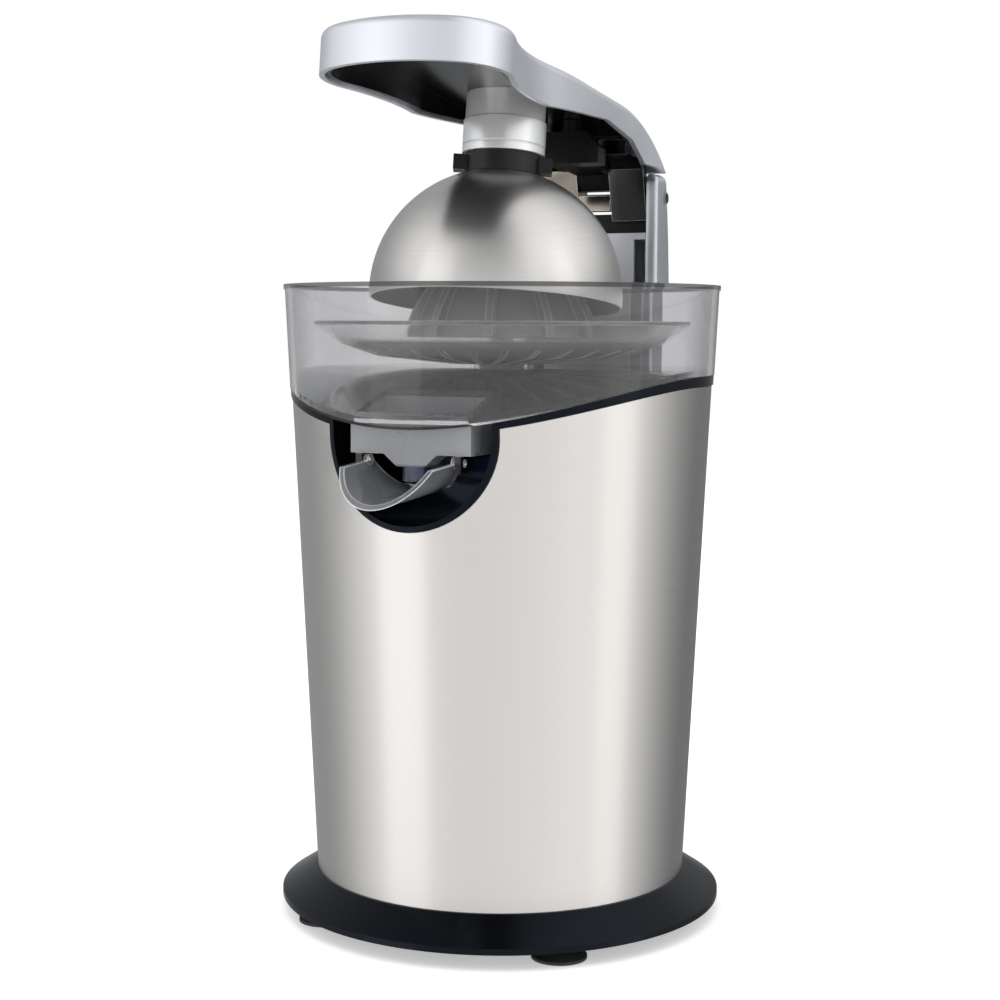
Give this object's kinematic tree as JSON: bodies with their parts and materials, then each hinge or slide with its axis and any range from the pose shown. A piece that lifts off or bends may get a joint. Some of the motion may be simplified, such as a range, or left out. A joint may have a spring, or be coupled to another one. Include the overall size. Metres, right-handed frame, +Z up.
{
  "type": "electric citrus juicer",
  "caption": "Upright electric citrus juicer: a lever presses a steel dome onto a ribbed cone over a smoky bowl, above a tapered steel body with a flip-up spout.",
  "frame": {"origin": "on the worktop under the middle of the machine, on the axis of the steel body", "axes": "+Z up along the body's axis, -Y to the front where the spout is, +X to the right as seen from the front"},
  "size_m": [0.185, 0.2266, 0.3585],
  "materials": {
    "shell_steel": "fine horizontal brushing",
    "dome_steel": "fine turned brushing",
    "satin_silver": "satin metallic",
    "bright_chrome": "polished",
    "black_gloss": "glossy",
    "black_matte": "fine satin",
    "smoke_clear": "clear, smoky",
    "smoke_strainer": "clear, smoky",
    "reamer_grey": "clear, smoky",
    "black_rubber": "matt",
    "plain_steel": "plain bright",
    "bush_bronze": "sintered",
    "gear_nylon": "natural",
    "gearbox_grey": "moulded",
    "motor_zinc": "zinc plated",
    "core_iron": "laminated",
    "copper": "enamelled",
    "switch_black": "moulded"
  },
  "bodies": {
    "base": {"body_shell": "shell_steel", "rear_column": "satin_silver", "column_panel": "satin_silver", "pivot_pin": "bright_chrome", "base_ring": "black_gloss", "upper_housing": "black_gloss", "spout_recess": "black_gloss", "bottom_cover": "black_matte", "hinge_spacers": "black_matte", "juice_bowl": "smoke_clear", "bowl_floor": "smoke_clear", "juice_chute": "smoke_clear", "juice_nozzle": "smoke_clear", "strainer": "smoke_strainer", "front_left_foot": "black_rubber", "front_right_foot": "black_rubber", "rear_left_foot": "black_rubber", "rear_right_foot": "black_rubber", "cord_gland": "black_rubber", "shaft_seal": "black_rubber", "bottom_cover_screws": "plain_steel", "tie_rods": "plain_steel", "idler_axle": "plain_steel", "gearbox_screws": "plain_steel", "motor_screws": "plain_steel", "bracket_screws": "plain_steel", "switch_screws": "plain_steel", "column_screws": "plain_steel", "press_spring": "plain_steel", "thrust_bracket": "plain_steel", "upper_bush": "bush_bronze", "lower_bush": "bush_bronze", "motor_bushes": "bush_bronze", "gearbox_base": "gearbox_grey", "gearbox_cover": "gearbox_grey", "motor_can": "motor_zinc", "motor_end_cap": "motor_zinc", "motor_stator": "core_iron", "motor_windings": "copper", "start_switch": "switch_black"},
    "arm": {"handle_shell": "satin_silver", "handle_underside": "black_matte", "lever_core": "black_matte", "hinge_bracket": "bright_chrome", "stem_socket": "satin_silver", "stem_ring": "satin_silver"},
    "dome": {"dome_collar": "black_matte", "press_dome": "dome_steel", "dome_liner": "black_matte", "dome_screw": "plain_steel"},
    "flap": {"spout_flap": "smoke_clear"},
    "press_cup": {"thrust_cup": "gear_nylon"},
    "spindle": {"drive_shaft": "plain_steel", "reamer_cone": "reamer_grey"},
    "output": {"output_gear": "gear_nylon"},
    "idler": {"idler_gear": "gear_nylon"},
    "rotor": {"motor_rotor": "core_iron", "motor_pinion": "gear_nylon"},
    "button": {"switch_button": "gear_nylon"}
  },
  "joints": [
    {"name": "arm_hinge", "type": "hinge", "parent": "base", "child": "arm", "pos_m": [0, 0.104, 0.3035], "axis": [1, 0, 0], "range_deg": [-60, 6.7]},
    {"name": "dome_twist", "type": "hinge", "parent": "arm", "child": "dome", "pos_m": [0, 0.0003, 0.31216], "axis": [0, 0.1167, 0.9932], "range_deg": [0, 40]},
    {"name": "spout_flip", "type": "hinge", "parent": "base", "child": "flap", "pos_m": [0, -0.0795, 0.1937], "axis": [1, 0, 0], "range_deg": [-25, 0]},
    {"name": "press_start", "type": "slide", "parent": "base", "child": "press_cup", "axis": [0, 0, 1], "range_m": [-0.0025, 0], "stiffness_N_per_m": 2000, "springref_m": 0.003, "deforming": ["press_spring"]},
    {"name": "spindle_spin", "type": "hinge", "parent": "press_cup", "child": "spindle", "pos_m": [0, 0, 0.1525], "axis": [0, 0, 1], "continuous": true},
    {"name": "motor_spin", "type": "hinge", "parent": "base", "child": "rotor", "pos_m": [0, 0.042, 0.0835], "axis": [0, 0, 1], "continuous": true},
    {"name": "idler_spin", "type": "hinge", "parent": "base", "child": "idler", "pos_m": [0.03033, 0.02452, 0.1835], "axis": [0, 0, 1], "continuous": true},
    {"name": "output_spin", "type": "hinge", "parent": "base", "child": "output", "pos_m": [0, 0, 0.195], "axis": [0, 0, 1], "continuous": true},
    {"name": "switch_slide", "type": "slide", "parent": "base", "child": "button", "axis": [0, 0, 1], "range_m": [-0.0025, 0]}
  ],
  "couplings": [
    {"joint": "idler_spin", "follows": "motor_spin", "ratio": -0.27273},
    {"joint": "output_spin", "follows": "motor_spin", "ratio": 0.081818},
    {"joint": "spindle_spin", "follows": "motor_spin", "ratio": 0.081818},
    {"joint": "switch_slide", "follows": "press_start", "ratio": 1}
  ]
}
